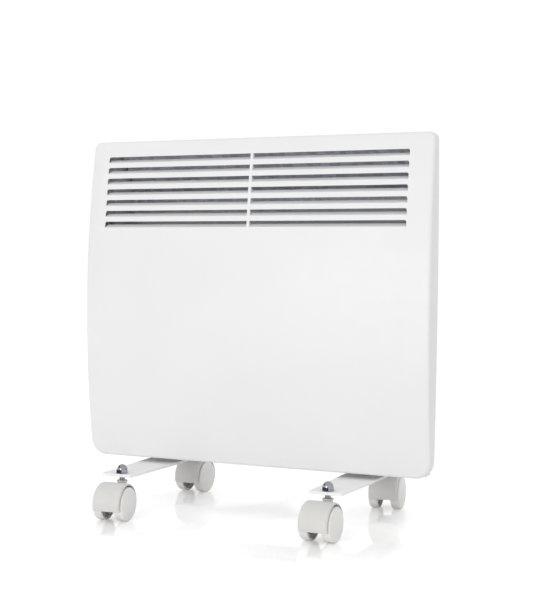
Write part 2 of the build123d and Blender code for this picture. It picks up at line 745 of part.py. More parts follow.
def build_leg_plate(side, node):
    """Pressed steel plate under the case, with its edge turned down all round."""
    stem_x = side * STEM_X
    centre_x = stem_x + PLATE_SHIFTS[side]
    outline = plate_outline(centre_x)
    pocket = plate_outline(centre_x, PLATE_THICKNESS)
    with BuildPart() as plate:
        with BuildSketch(Plane.XY.offset(PLATE_TOP - PLATE_DEPTH)):
            add(outline)
        extrude(amount=PLATE_DEPTH)
        fillet(plate.faces().sort_by(Axis.Z)[-1].edges(), radius=1.0)
        with BuildSketch(Plane.XY.offset(PLATE_TOP - PLATE_DEPTH)):
            add(pocket)
        extrude(amount=PLATE_DEPTH - PLATE_THICKNESS, mode=Mode.SUBTRACT)
        with BuildSketch(Plane.XY.offset(PLATE_BOTTOM)):
            with Locations((stem_x, STEM_FRONT_Y), (stem_x, STEM_REAR_Y)):
                Circle(STEM_RADIUS + 0.2)
            with Locations(*[spot for spot in PLATE_SCREWS if spot[0] * side > 0]):
                Circle(2.2)
        extrude(amount=PLATE_THICKNESS, mode=Mode.SUBTRACT)
    save(plate, node)
    return plate


def build_leg_plate_screws():
    """Pan-head screws from below, through the plates into the case."""
    with BuildPart() as screws:
        for base, height, radius in ((PLATE_BOTTOM - 2.4, 2.4, 3.8), (PLATE_BOTTOM, 8, 2.0)):
            with BuildSketch(Plane.XY.offset(base)):
                with Locations(*PLATE_SCREWS):
                    Circle(radius)
            extrude(amount=height)
        with BuildSketch(Plane.XY.offset(PLATE_BOTTOM - 2.4)):
            add(cross_slots(PLATE_SCREWS))
        extrude(amount=1.4, mode=Mode.SUBTRACT)
    save(screws, "leg_plate_screws")
    return screws


def build_castor_stems():
    """Shouldered steel stems, one through each end of each plate."""
    low = 27.0
    high = PLATE_TOP + 8.5
    shoulder = PLATE_BOTTOM - 1.2
    with BuildPart() as stems:
        for x, y, _ in CASTORS.values():
            with BuildSketch(Plane((x, y, 0), x_dir=(1, 0, 0), z_dir=(0, -1, 0))):
                with BuildLine():
                    Polyline(
                        (0, low),
                        (STEM_RADIUS - 0.6, low),
                        (STEM_RADIUS, low + 0.6),
                        (STEM_RADIUS, HOOD_TOP - 0.4),
                        (STEM_NECK, HOOD_TOP + 0.2),
                        (STEM_NECK, shoulder - 0.6),
                        (STEM_RADIUS + 0.6, shoulder),
                        (6, shoulder),
                        (6, PLATE_BOTTOM),
                        (STEM_RADIUS, PLATE_BOTTOM),
                        (STEM_RADIUS, high - 0.6),
                        (STEM_RADIUS - 0.6, high),
                        (0, high),
                        close=True,
                    )
                make_face()
            revolve(axis=Axis((x, y, 0), (0, 0, 1)))
    save(stems, "castor_stems")
    return stems


def build_castor_nuts():
    """Domed hexagon nuts on the stems, on top of the plates."""
    hexagon = 4.7
    dome_radius = 6.1
    dome_base = PLATE_TOP + hexagon
    with BuildPart() as nuts:
        for x, y, _ in CASTORS.values():
            with BuildSketch(Plane.XY.offset(PLATE_TOP)):
                with Locations((x, y)):
                    RegularPolygon(6.5, 6, major_radius=False, rotation=-5)
            extrude(amount=hexagon)
            with BuildSketch(Plane((x, y, 0), x_dir=(1, 0, 0), z_dir=(0, -1, 0))):
                with BuildLine():
                    Line((0, dome_base - 1), (dome_radius, dome_base - 1))
                    Line((dome_radius, dome_base - 1), (dome_radius, dome_base))
                    dome = CenterArc((0, dome_base), dome_radius, 0, 90)
                    Line(dome @ 1, (0, dome_base - 1))
                make_face()
            revolve(axis=Axis((x, y, 0), (0, 0, 1)))
            with BuildSketch(Plane.XY.offset(PLATE_TOP)):
                with Locations((x, y)):
                    Circle(STEM_RADIUS)
            extrude(amount=8.6, mode=Mode.SUBTRACT)
    save(nuts, "castor_nuts")
    return nuts


def castor_frame(name):
    """Frame of one castor: origin on the floor under the stem, X along its axle."""
    x, y, swivel = CASTORS[name]
    turn = radians(swivel)
    return Plane((x, y, 0), x_dir=(cos(turn), sin(turn), 0), z_dir=(0, 0, 1))


def across_axle(frame, x):
    """Plane square to the axle at x along it; X runs to the stem's side, Y up."""
    centre = frame.from_local_coords((x, -TRAIL, WHEEL_RADIUS))
    return Plane(centre, x_dir=frame.y_dir, z_dir=frame.x_dir)


def along_axle(frame):
    """Upright plane through the axle; X along the axle, Y up."""
    centre = frame.from_local_coords((0, -TRAIL, WHEEL_RADIUS))
    return Plane(centre, x_dir=frame.x_dir, z_dir=-frame.y_dir)


def build_castor_hood(name):
    """Drum-shaped hood with a wheel well at each side and a flared neck for the stem."""
    frame = castor_frame(name)
    with BuildPart() as hood:
        with BuildSketch(across_axle(frame, -HOOD_HALF)):
            Circle(HOOD_RADIUS)
        extrude(amount=2 * HOOD_HALF)
        fillet(hood.edges().filter_by(GeomType.CIRCLE), radius=HOOD_ROUND)
        for side in (-1, 1):
            with BuildSketch(across_axle(frame, side * CORE_HALF)):
                Circle(HOOD_BORE)
            extrude(amount=side * HOOD_HALF, mode=Mode.SUBTRACT)
        with BuildSketch(Plane(frame.origin, x_dir=frame.x_dir, z_dir=-frame.y_dir)):
            with BuildLine():
                Polyline(
                    (0, SKIRT_HEIGHT),
                    (NECK_RADIUS, SKIRT_HEIGHT),
                    (NECK_RADIUS, COLLAR_LOW),
                    (COLLAR_RADIUS, HOOD_TOP - 1),
                    (COLLAR_RADIUS, HOOD_TOP - 0.6),
                    (COLLAR_RADIUS - 1, HOOD_TOP),
                    (0, HOOD_TOP),
                    close=True,
                )
            make_face()
        revolve(axis=Axis(frame.origin, (0, 0, 1)))
        with BuildSketch(frame.offset(SKIRT_HEIGHT)):
            with Locations((0, -TRAIL)):
                Rectangle(3 * HOOD_RADIUS, 3 * HOOD_RADIUS)
        extrude(amount=-HOOD_RADIUS, mode=Mode.SUBTRACT)
        with BuildSketch(frame.offset(26.5)):
            Circle(STEM_RADIUS + RUNNING)
        extrude(amount=HOOD_TOP, mode=Mode.SUBTRACT)
        with BuildSketch(across_axle(frame, -CORE_HALF)):
            Circle(AXLE_RADIUS)
        extrude(amount=2 * CORE_HALF, mode=Mode.SUBTRACT)
    save(hood, f"castor_hood_{name}")
    return hood


def build_castor_axle(name):
    """Steel axle pressed through the hood's core, with a wheel on each end."""
    frame = castor_frame(name)
    with BuildPart() as axle:
        with BuildSketch(across_axle(frame, 0)):
            Circle(AXLE_RADIUS)
        extrude(amount=AXLE_HALF, both=True)
    save(axle, f"castor_axle_{name}")
    return axle


def build_castor_wheel(name, side, node):
    """Dished wheel: domed face, rounded tread edge, hub and six ribs on the inside."""
    frame = castor_frame(name)
    bore = AXLE_RADIUS + RUNNING
    hub_radius = 5.0
    tread_inner = 8.4
    tread_outer = WHEEL_FACE - WHEEL_ROUND
    dish = WHEEL_FACE - 1.8
    face_radius = WHEEL_RADIUS - WHEEL_ROUND
    dome_radius = (face_radius**2 + WHEEL_DOME**2) / (2 * WHEEL_DOME)
    apex = WHEEL_FACE + WHEEL_DOME
    middle = apex - dome_radius + sqrt(dome_radius**2 - (face_radius / 2) ** 2)
    with BuildPart() as wheel:
        with BuildSketch(along_axle(frame)):
            with BuildLine():
                Polyline(
                    (side * apex, 0),
                    (side * dish, 0),
                    (side * dish, bore),
                    (side * (CORE_HALF + 0.6), bore),
                    (side * (CORE_HALF + 0.6), hub_radius),
                    (side * dish, hub_radius),
                    (side * dish, 15.4),
                    (side * (dish - 2), WHEEL_RADIUS - 2.4),
                    (side * tread_inner, WHEEL_RADIUS - 2.4),
                    (side * tread_inner, WHEEL_RADIUS - 0.6),
                    (side * (tread_inner + 0.6), WHEEL_RADIUS),
                    (side * tread_outer, WHEEL_RADIUS),
                )
                turn = WHEEL_ROUND * (1 - sqrt(0.5))
                edge = (side * (WHEEL_FACE - turn), WHEEL_RADIUS - turn)
                ThreePointArc((side * tread_outer, WHEEL_RADIUS), edge, (side * WHEEL_FACE, face_radius))
                dome = (side * middle, face_radius / 2)
                ThreePointArc((side * WHEEL_FACE, face_radius), dome, (side * apex, 0))
            make_face()
        revolve(axis=Axis(along_axle(frame).origin, frame.x_dir))
        with BuildSketch(across_axle(frame, side * (tread_inner + 1.6))):
            with PolarLocations(11.4, 6):
                Rectangle(13.6, 1.2)
        extrude(amount=side * (dish - tread_inner - 1))
    save(wheel, node)
    return wheel


# ---- the whole heater ---------------------------------------------------------------


def build_heater():
    """Builds every piece and returns them as a list."""
    pieces = [
        build_front_panel(),
        build_rear_case(),
        build_panel_screws(),
        build_air_guide(),
        build_heat_shield(),
        build_element_fins(),
        build_element_sheath(),
        build_element_insulators(),
        build_element_bracket(-1, "element_bracket_left"),
        build_element_bracket(1, "element_bracket_right"),
        build_bracket_screws(),
        build_overheat_cutout(),
        build_thermostat_body(),
        build_control_bezel(),
        build_thermostat_knob(),
        build_switch_housing(),
        build_switch_rocker(),
        build_terminal_block(),
        build_cord_bush(),
        build_earth_screw(),
        build_internal_leads(),
        build_leg_plate(-1, "leg_plate_left"),
        build_leg_plate(1, "leg_plate_right"),
        build_leg_plate_screws(),
        build_castor_stems(),
        build_castor_nuts(),
    ]
    for name in CASTORS:
        pieces.append(build_castor_hood(name))
        pieces.append(build_castor_axle(name))
        pieces.append(build_castor_wheel(name, -1, f"castor_wheel_{name}_l"))
        pieces.append(build_castor_wheel(name, 1, f"castor_wheel_{name}_r"))
    return pieces


heater = Compound(children=[piece.part for piece in build_heater()])
size = heater.bounding_box()
print("low corner", size.min, "high corner", size.max)
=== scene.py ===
"""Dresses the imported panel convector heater: finishes, printed marks, light, floor and camera.

Lengths are in metres, angles in degrees, and the cells of a pattern are counted to the metre.
"""

import logging
import math
from dataclasses import dataclass
from enum import Enum

import bmesh
import bpy
from mathutils import Matrix, Vector


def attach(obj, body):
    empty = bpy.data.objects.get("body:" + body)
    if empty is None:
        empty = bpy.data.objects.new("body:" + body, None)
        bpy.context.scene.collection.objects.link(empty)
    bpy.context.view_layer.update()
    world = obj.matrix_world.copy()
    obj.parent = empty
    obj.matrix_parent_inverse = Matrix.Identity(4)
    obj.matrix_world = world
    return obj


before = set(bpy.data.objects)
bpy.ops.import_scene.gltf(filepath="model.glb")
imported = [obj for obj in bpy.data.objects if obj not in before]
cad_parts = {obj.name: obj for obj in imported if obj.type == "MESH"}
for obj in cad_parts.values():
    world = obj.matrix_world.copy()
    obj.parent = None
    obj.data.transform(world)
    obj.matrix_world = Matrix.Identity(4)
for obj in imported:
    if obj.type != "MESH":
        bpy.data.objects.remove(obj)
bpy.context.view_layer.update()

LOG = logging.getLogger("heater")
Colour = tuple[float, float, float]
Point = tuple[float, float, float]
Span = tuple[float, float]
MM = 0.001
WHITE = (1.0, 1.0, 1.0, 1.0)
NOISE_REACH: Span = (0.3, 0.7)  # the usual reach of a noise texture's values
WELD_GAP = 0.002 * MM
CRISP_ANGLE = math.radians(32.0)
SIDEWAYS = Vector((0.0, -1.0, 0.0))  # from left to right on the wall that holds the controls


class Side(Enum):
    """Which side of a castor a wheel is on."""

    LEFT = "l"
    RIGHT = "r"


class Corner(Enum):
    """Where a castor stands."""

    FRONT_LEFT = "front_left"
    FRONT_RIGHT = "front_right"
    REAR_LEFT = "rear_left"
    REAR_RIGHT = "rear_right"


# ---- shader sheets ------------------------------------------------------------------


def shade(colour: Colour, factor: float) -> Colour:
    """Returns a colour made lighter or darker by a factor."""
    return tuple(min(1.0, channel * factor) for channel in colour)


def around(middle: float, spread: float) -> Span:
    """Returns the span that reaches as far below a middle value as above it."""
    return (middle - spread, middle + spread)


def seen_rays(tree: bpy.types.NodeTree) -> bpy.types.Node:
    """Adds nodes that give 1 for the rays that show the background, and 0 for its light.

    Args:
        tree: the node tree of the floor or of the world.

    Returns:
        The node whose output is 1 for camera, glossy and transmission rays.
    """
    rays = tree.nodes.new("ShaderNodeLightPath")
    seen = None
    for ray in ("Is Camera Ray", "Is Glossy Ray", "Is Transmission Ray"):
        either = tree.nodes.new("ShaderNodeMath")
        either.operation = "MAXIMUM"
        either.inputs[1].default_value = 0.0
        if seen:
            tree.links.new(seen.outputs[0], either.inputs[1])
        tree.links.new(rays.outputs[ray], either.inputs[0])
        seen = either
    return seen


class ShaderSheet:
    """A material's node tree with short calls to add and join nodes."""

    def __init__(self, name: str) -> None:
        """Starts a material with one Principled shader on its output.

        Args:
            name: name of the new material.
        """
        self.material = bpy.data.materials.new(name)
        self.material.use_nodes = True
        self.tree = self.material.node_tree
        self.tree.nodes.clear()
        self.output = self.tree.nodes.new("ShaderNodeOutputMaterial")
        self.shader = self.tree.nodes.new("ShaderNodeBsdfPrincipled")
        self.join(self.shader, "BSDF", self.output, "Surface")

    def add(self, kind: str, **settings: object) -> bpy.types.Node:
        """Adds a node and sets its properties.

        Args:
            kind: Blender's node type name.
            settings: properties of the node, by name.

        Returns:
            The new node.
        """
        node = self.tree.nodes.new(kind)
        for key, value in settings.items():
            setattr(node, key, value)
        return node

    def join(
        self, source: bpy.types.Node, out: str | int, target: bpy.types.Node, into: str | int
    ) -> None:
        """Links one node's output to another's input."""
        self.tree.links.new(source.outputs[out], target.inputs[into])

    def place(self) -> bpy.types.Node:
        """Adds the node that gives a point's place on the object, in metres."""
        return self.add("ShaderNodeTexCoord")

    def stretched(self, place: bpy.types.Node, scale: Point) -> bpy.types.Node:
        """Scales object coordinates by a different amount along each axis.

        Args:
            place: the texture coordinate node.
            scale: factor along x, y and z.

        Returns:
            The mapping node.
        """
        mapping = self.add("ShaderNodeMapping")
        mapping.inputs["Scale"].default_value = scale
        self.join(place, "Object", mapping, "Vector")
        return mapping

    def noise(self, place: bpy.types.Node, out: str, cells: float, octaves: float) -> bpy.types.Node:
        """Adds fractal noise over the object.

        Args:
            place: the node that gives the coordinates.
            out: name of its output.
            cells: cells to the metre.
            octaves: how many finer layers the noise has.

        Returns:
            The noise node.
        """
        noise = self.add("ShaderNodeTexNoise")
        noise.inputs["Scale"].default_value = cells
        noise.inputs["Detail"].default_value = octaves
        self.join(place, out, noise, "Vector")
        return noise

    def tint(self, source: bpy.types.Node, out: str, colour: Colour, shades: Span) -> None:
        """Colours the surface between two shades of one colour.

        Args:
            source: the node that carries the pattern.
            out: name of its output.
            colour: the surface's main colour.
            shades: factor on the colour at the pattern's low and high end.
        """
        ramp = self.add("ShaderNodeValToRGB")
        for stop, position, factor in zip(ramp.color_ramp.elements, NOISE_REACH, shades):
            stop.position = position
            stop.color = (*shade(colour, factor), 1.0)
        self.join(source, out, ramp, "Fac")
        self.join(ramp, "Color", self.shader, "Base Color")

    def roughen(self, source: bpy.types.Node, out: str, roughness: Span) -> None:
        """Varies the surface's roughness.

        Args:
            source: the node that carries the pattern.
            out: name of its output.
            roughness: roughness at the pattern's low and high end.
        """
        spread = self.add("ShaderNodeMapRange")
        spread.inputs["From Min"].default_value, spread.inputs["From Max"].default_value = NOISE_REACH
        spread.inputs["To Min"].default_value, spread.inputs["To Max"].default_value = roughness
        self.join(source, out, spread, "Value")
        self.join(spread, "Result", self.shader, "Roughness")

    def emboss(self, source: bpy.types.Node, out: str, depth: float) -> None:
        """Raises the surface by a pattern.

        Args:
            source: the node that carries the height.
            out: name of its output.
            depth: height of the relief in metres.
        """
        bump = self.add("ShaderNodeBump")
        bump.inputs["Distance"].default_value = depth
        bump.inputs["Strength"].default_value = 1.0
        self.join(source, out, bump, "Height")
        self.join(bump, "Normal", self.shader, "Normal")


# ---- finishes -----------------------------------------------------------------------


@dataclass(frozen=True)
class Finish:
    """A surface finish: its material's name and its main colour."""

    name: str
    colour: Colour

    def material(self) -> bpy.types.Material:
        """Builds the finish's material; each kind of finish has its own."""
        raise NotImplementedError


@dataclass(frozen=True)
class PowderCoat(Finish):
    """Baked satin powder coat: fine orange peel and a slight clouding of tone and gloss."""

    clouding: float = 0.012
    cloud_cells: float = 9.0
    roughness: float = 0.42
    roughness_spread: float = 0.04
    sheen_cells: float = 60.0
    peel_cells: float = 420.0
    peel_depth: float = 0.02 * MM
    gloss: float = 0.5

    def material(self) -> bpy.types.Material:
        """Builds the coat's material.

        Returns:
            The new material.
        """
        sheet = ShaderSheet(self.name)
        place = sheet.place()
        cloud = sheet.noise(place, "Object", self.cloud_cells, octaves=3.0)
        sheet.tint(cloud, "Fac", self.colour, around(1.0, self.clouding))
        sheen = sheet.noise(place, "Object", self.sheen_cells, octaves=4.0)
        sheet.roughen(sheen, "Fac", around(self.roughness, self.roughness_spread))
        peel = sheet.noise(place, "Object", self.peel_cells, octaves=2.0)
        sheet.emboss(peel, "Fac", self.peel_depth)
        sheet.shader.inputs["Specular IOR Level"].default_value = self.gloss
        return sheet.material


@dataclass(frozen=True)
class MouldedPlastic(Finish):
    """Injection-moulded plastic: spark-eroded grain, faint flow tone and matt-to-satin gloss."""

    flow: float = 0.03
    flow_cells: Point = (30.0, 30.0, 70.0)
    roughness: float = 0.45
    roughness_spread: float = 0.06
    scuff_cells: float = 240.0
    grain_cells: float = 1500.0
    grain_depth: float = 0.03 * MM

    def material(self) -> bpy.types.Material:
        """Builds the plastic's material.

        Returns:
            The new material.
        """
        sheet = ShaderSheet(self.name)
        place = sheet.place()
        stream = sheet.noise(sheet.stretched(place, self.flow_cells), "Vector", cells=1.0, octaves=3.0)
        sheet.tint(stream, "Fac", self.colour, around(1.0, self.flow))
        scuff = sheet.noise(place, "Object", self.scuff_cells, octaves=4.0)
        sheet.roughen(scuff, "Fac", around(self.roughness, self.roughness_spread))
        grain = sheet.noise(place, "Object", self.grain_cells, octaves=1.0)
        sheet.emboss(grain, "Fac", self.grain_depth)
        return sheet.material


@dataclass(frozen=True)
class Galvanised(Finish):
    """Galvanised sheet: zinc crystals of uneven tone and gloss."""

    crystal_cells: float = 140.0
    shades: Span = (0.86, 1.12)
    roughness: Span = (0.38, 0.52)
    dulling_cells: float = 700.0
    dulling_depth: float = 0.01 * MM
    metallic: float = 1.0

    def material(self) -> bpy.types.Material:
        """Builds the sheet's material.

        Returns:
            The new material.
        """
        sheet = ShaderSheet(self.name)
        place = sheet.place()
        crystals = sheet.add("ShaderNodeTexVoronoi")
        crystals.inputs["Scale"].default_value = self.crystal_cells
        sheet.join(place, "Object", crystals, "Vector")
        sheet.tint(crystals, "Color", self.colour, self.shades)
        sheet.roughen(crystals, "Color", self.roughness)
        dulling = sheet.noise(place, "Object", self.dulling_cells, octaves=3.0)
        sheet.emboss(dulling, "Fac", self.dulling_depth)
        sheet.shader.inputs["Metallic"].default_value = self.metallic
        return sheet.material


@dataclass(frozen=True)
class WorkedMetal(Finish):
    """Turned, drawn or plated metal: fine tool lines along one direction and a smoky tone."""

    smoke_cells: float = 160.0
    shades: Span = (0.88, 1.1)
    roughness: float = 0.28
    roughness_spread: float = 0.07
    lines: Point = (300.0, 300.0, 6000.0)
    line_depth: float = 0.008 * MM

    def material(self) -> bpy.types.Material:
        """Builds the metal's material.

        Returns:
            The new material.
        """
        sheet = ShaderSheet(self.name)
        place = sheet.place()
        smoke = sheet.noise(place, "Object", self.smoke_cells, octaves=3.0)
        sheet.tint(smoke, "Fac", self.colour, self.shades)
        drawn = sheet.noise(sheet.stretched(place, self.lines), "Vector", cells=1.0, octaves=2.0)
        sheet.roughen(drawn, "Fac", around(self.roughness, self.roughness_spread))
        sheet.emboss(drawn, "Fac", self.line_depth)
        sheet.shader.inputs["Metallic"].default_value = 1.0
        return sheet.material


@dataclass(frozen=True)
class BraidedSleeve(Finish):
    """Heat-resistant woven sleeve on a wire."""

    strand_cells: float = 1400.0
    strand_depth: float = 0.05 * MM
    shades: Span = (1.15, 0.8)
    fuzz_cells: float = 2400.0
    roughness: Span = (0.65, 0.85)

    def material(self) -> bpy.types.Material:
        """Builds the sleeve's material.

        Returns:
            The new material.
        """
        sheet = ShaderSheet(self.name)
        place = sheet.place()
        weave = sheet.add("ShaderNodeTexChecker")
        weave.inputs["Scale"].default_value = self.strand_cells
        for socket, factor in zip(("Color1", "Color2"), self.shades):
            weave.inputs[socket].default_value = (*shade(self.colour, factor), 1.0)
        sheet.join(place, "Object", weave, "Vector")
        sheet.join(weave, "Color", sheet.shader, "Base Color")
        fuzz = sheet.noise(place, "Object", self.fuzz_cells, octaves=2.0)
        sheet.roughen(fuzz, "Fac", self.roughness)
        sheet.emboss(weave, "Fac", self.strand_depth)
        return sheet.material


@dataclass(frozen=True)
class PrintedInk(Finish):
    """Pad-printed ink: one colour with a slightly uneven tone and gloss."""

    patch_cells: float = 900.0
    shades: Span = (0.9, 1.2)
    roughness: Span = (0.5, 0.62)

    def material(self) -> bpy.types.Material:
        """Builds the ink's material.

        Returns:
            The new material.
        """
        sheet = ShaderSheet(self.name)
        patch = sheet.noise(sheet.place(), "Object", self.patch_cells, octaves=3.0)
        sheet.tint(patch, "Fac", self.colour, self.shades)
        sheet.roughen(patch, "Fac", self.roughness)
        return sheet.material


# ---- dressing and printing ----------------------------------------------------------


def dress(finish: Finish, *nodes: str) -> None:
    """Gives CAD nodes one finish between them, smooth faces and crisp edges.

    Args:
        finish: what the nodes are finished in.
        nodes: names of the CAD nodes.
    """
    material = finish.material()
    for node in nodes:
        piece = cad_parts[node]
        piece.data.materials.clear()
        piece.data.materials.append(material)
        piece.data.polygons.foreach_set("use_smooth", [True] * len(piece.data.polygons))
        weld = piece.modifiers.new("weld", "WELD")
        weld.merge_threshold = WELD_GAP
        split = piece.modifiers.new("crisp", "EDGE_SPLIT")
        split.split_angle = CRISP_ANGLE
        LOG.info("dressed %s", node)


def new_piece(name: str, shape: bmesh.types.BMesh, material: bpy.types.Material, body: str) -> None:
    """Makes an object of a mesh and lets it ride on a body.

    Args:
        name: name of the piece.
        shape: the mesh under construction; it is freed.
        material: the piece's material.
        body: the CAD body that carries it.
    """
    mesh = bpy.data.meshes.new(name)
    bmesh.ops.recalc_face_normals(shape, faces=shape.faces)
    shape.to_mesh(mesh)
    shape.free()
    piece = bpy.data.objects.new(name, mesh)
    bpy.context.scene.collection.objects.link(piece)
    mesh.materials.append(material)
    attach(piece, body)
    LOG.info("made %s", name)


def print_bar(shape: bmesh.types.BMesh, start: Vector, run: Vector, width: Vector) -> None:
    """Adds a thin printed bar to a mesh.

    Args:
        shape: the mesh under construction.
        start: middle of the bar's first end.
        run: the bar's length as a vector.
        width: the bar's full width as a vector.
    """
    half = width / 2
    corners = (start - half, start + half, start + run + half, start + run - half)
    shape.faces.new([shape.verts.new(corner) for corner in corners])


@dataclass(frozen=True)
class DialMarks:
    """The numbers and strokes on the knob's face, and the pointer on the bezel."""

    knob_face: Point = (-0.2201, 0.040, 0.176)
    bezel_face: float = -0.2085
    sweep: float = 270.0
    settings: int = 6
    digit_radius: float = 8.6 * MM
    digit_height: float = 3.4 * MM
    stroke_inset: float = 0.8 * MM
    stroke_length: float = 1.6 * MM
    stroke_width: float = 0.4 * MM
    pointer_tip: float = 17.2 * MM
    pointer_base: float = 20.4 * MM
    pointer_half_width: float = 1.7 * MM
    ink_depth: float = 0.02 * MM

    def build(self, ink: bpy.types.Material) -> None:
        """Prints the dial and its pointer.

        Args:
            ink: the marks' material.
        """
        strokes = bmesh.new()
        for step in range(2 * self.settings + 1):
            turn = math.radians(step * self.sweep / (2 * self.settings))
            outward = Vector((0.0, math.sin(turn), math.cos(turn)))
            across = Vector((0.0, -math.cos(turn), math.sin(turn)))
            if step % 2:
                start = Vector(self.knob_face) + outward * (self.digit_radius - self.stroke_inset)
                print_bar(strokes, start, outward * self.stroke_length, across * self.stroke_width)
            else:
                self.print_digit(step // 2, outward, across, ink)
        new_piece("dial_strokes", strokes, ink, "thermostat_knob")
        self.print_pointer(ink)

    def print_digit(
        self, number: int, outward: Vector, across: Vector, ink: bpy.types.Material
    ) -> None:
        """Prints one number on the knob's face.

        Args:
            number: the number.
            outward: direction from the knob's middle to the number, which is its top.
            across: direction in which the number is read.
            ink: its material.
        """
        digit = bpy.data.curves.new(f"dial_digit_{number}", "FONT")
        digit.body = str(number)
        digit.size = self.digit_height
        digit.align_x = "CENTER"
        digit.align_y = "CENTER"
        digit.extrude = self.ink_depth
        digit.materials.append(ink)
        piece = bpy.data.objects.new(digit.name, digit)
        place = Matrix((across, outward, Vector((-1.0, 0.0, 0.0)))).transposed().to_4x4()
        place.translation = Vector(self.knob_face) + outward * self.digit_radius
        piece.matrix_world = place
        bpy.context.scene.collection.objects.link(piece)
        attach(piece, "thermostat_knob")
        LOG.info("made %s", digit.name)

    def print_pointer(self, ink: bpy.types.Material) -> None:
        """Prints the triangle on the bezel that the dial is read against.

        Args:
            ink: its material.
        """
        shape = bmesh.new()
        x = self.bezel_face - self.ink_depth
        y, z = self.knob_face[1:]
        corners = (
            (x, y, z + self.pointer_tip),
            (x, y + self.pointer_half_width, z + self.pointer_base),
            (x, y - self.pointer_half_width, z + self.pointer_base),
        )
        shape.faces.new([shape.verts.new(corner) for corner in corners])
        bmesh.ops.solidify(shape, geom=shape.faces[:], thickness=2 * self.ink_depth)
        new_piece("dial_pointer", shape, ink, "heater")


@dataclass(frozen=True)
class RockerMarks:
    """The bar for ON and the ring for OFF on the two halves of the rocker."""

    pivot: Point = (-0.2082, 0.040, 0.128)
    tilt: float = 7.0
    half_length: float = 8.2 * MM
    half_rise: float = 1.0 * MM
    bar_lift: float = 2.63 * MM
    bar_start: float = 3.3 * MM
    bar_length: float = 2.8 * MM
    bar_width: float = 0.5 * MM
    ring_lift: float = 2.78 * MM
    ring_drop: float = 4.7 * MM
    ring_radii: Span = (1.1 * MM, 1.55 * MM)
    ring_steps: int = 36

    def build(self, ink: bpy.types.Material) -> None:
        """Prints both marks, each flat on its own sloping half.

        Args:
            ink: the marks' material.
        """
        tilt = math.radians(self.tilt)
        outward = Vector((-math.cos(tilt), 0.0, -math.sin(tilt)))
        upward = Vector((-math.sin(tilt), 0.0, math.cos(tilt)))
        shape = bmesh.new()
        self.print_on(shape, outward, upward)
        self.print_off(shape, outward, upward)
        new_piece("rocker_marks", shape, ink, "switch_rocker")

    def print_on(self, shape: bmesh.types.BMesh, outward: Vector, upward: Vector) -> None:
        """Adds the bar on the upper half.

        Args:
            shape: the marks' mesh under construction.
            outward: direction straight out of the tilted rocker.
            upward: direction up along the tilted rocker.
        """
        along = (upward * self.half_length + outward * self.half_rise).normalized()
        start = Vector(self.pivot) + outward * self.bar_lift + upward * self.bar_start
        print_bar(shape, start, along * self.bar_length, SIDEWAYS * self.bar_width)

    def print_off(self, shape: bmesh.types.BMesh, outward: Vector, upward: Vector) -> None:
        """Adds the ring on the lower half.

        Args:
            shape: the marks' mesh under construction.
            outward: direction straight out of the tilted rocker.
            upward: direction up along the tilted rocker.
        """
        along = (upward * self.half_length - outward * self.half_rise).normalized()
        centre = Vector(self.pivot) + outward * self.ring_lift - upward * self.ring_drop
        turns = [math.tau * step / self.ring_steps for step in range(self.ring_steps)]
        spokes = [SIDEWAYS * math.cos(turn) + along * math.sin(turn) for turn in turns]
        inner, outer = (
            [shape.verts.new(centre + radius * spoke) for spoke in spokes] for radius in self.ring_radii
        )
        for step in range(self.ring_steps):
            following = (step + 1) % self.ring_steps
            shape.faces.new((inner[step], inner[following], outer[following], outer[step]))


# ---- the heater's sub-assemblies ----------------------------------------------------


@dataclass(frozen=True)
class Casing:
    """The front panel, the rear case and the zinc-plated screws."""

    panel: PowderCoat = PowderCoat("panel_enamel", (0.86, 0.86, 0.865))
    case: PowderCoat = PowderCoat("case_enamel", (0.80, 0.80, 0.81), roughness=0.5)
    screws: WorkedMetal = WorkedMetal("zinc_plating", (0.62, 0.63, 0.65), roughness=0.25)

    def build(self) -> None:
        """Dresses the casing's nodes."""
        dress(self.panel, "front_panel")
        dress(self.case, "rear_case")
        dress(self.screws, "panel_screws", "bracket_screws", "leg_plate_screws")


@dataclass(frozen=True)
class HeatingPack:
    """The element, its insulators, brackets and cut-out, and the sheets round it."""

    guide: Galvanised = Galvanised("guide_zinc", (0.54, 0.56, 0.63), metallic=0.2)
    shield: Galvanised = Galvanised("shield_zinc", (0.55, 0.56, 0.58))
    bracket: Galvanised = Galvanised("bracket_zinc", (0.52, 0.53, 0.55))
    fins: WorkedMetal = WorkedMetal(
        "extruded_aluminium", (0.66, 0.66, 0.68), lines=(40.0, 3000.0, 3000.0)
    )
    sheath: WorkedMetal = WorkedMetal("heater_steel", (0.36, 0.33, 0.30), lines=(40.0, 2500.0, 2500.0))
    ceramic: MouldedPlastic = MouldedPlastic("glazed_ceramic", (0.80, 0.77, 0.68), roughness=0.2)
    cutout: MouldedPlastic = MouldedPlastic("cutout_phenolic", (0.06, 0.045, 0.04), roughness=0.5)

    def build(self) -> None:
        """Dresses the pack's nodes."""
        dress(self.guide, "air_guide")
        dress(self.shield, "heat_shield")
        dress(self.bracket, "element_bracket_left", "element_bracket_right")
        dress(self.fins, "element_fins")
        dress(self.sheath, "element_sheath")
        dress(self.ceramic, "element_insulators")
        dress(self.cutout, "overheat_cutout")


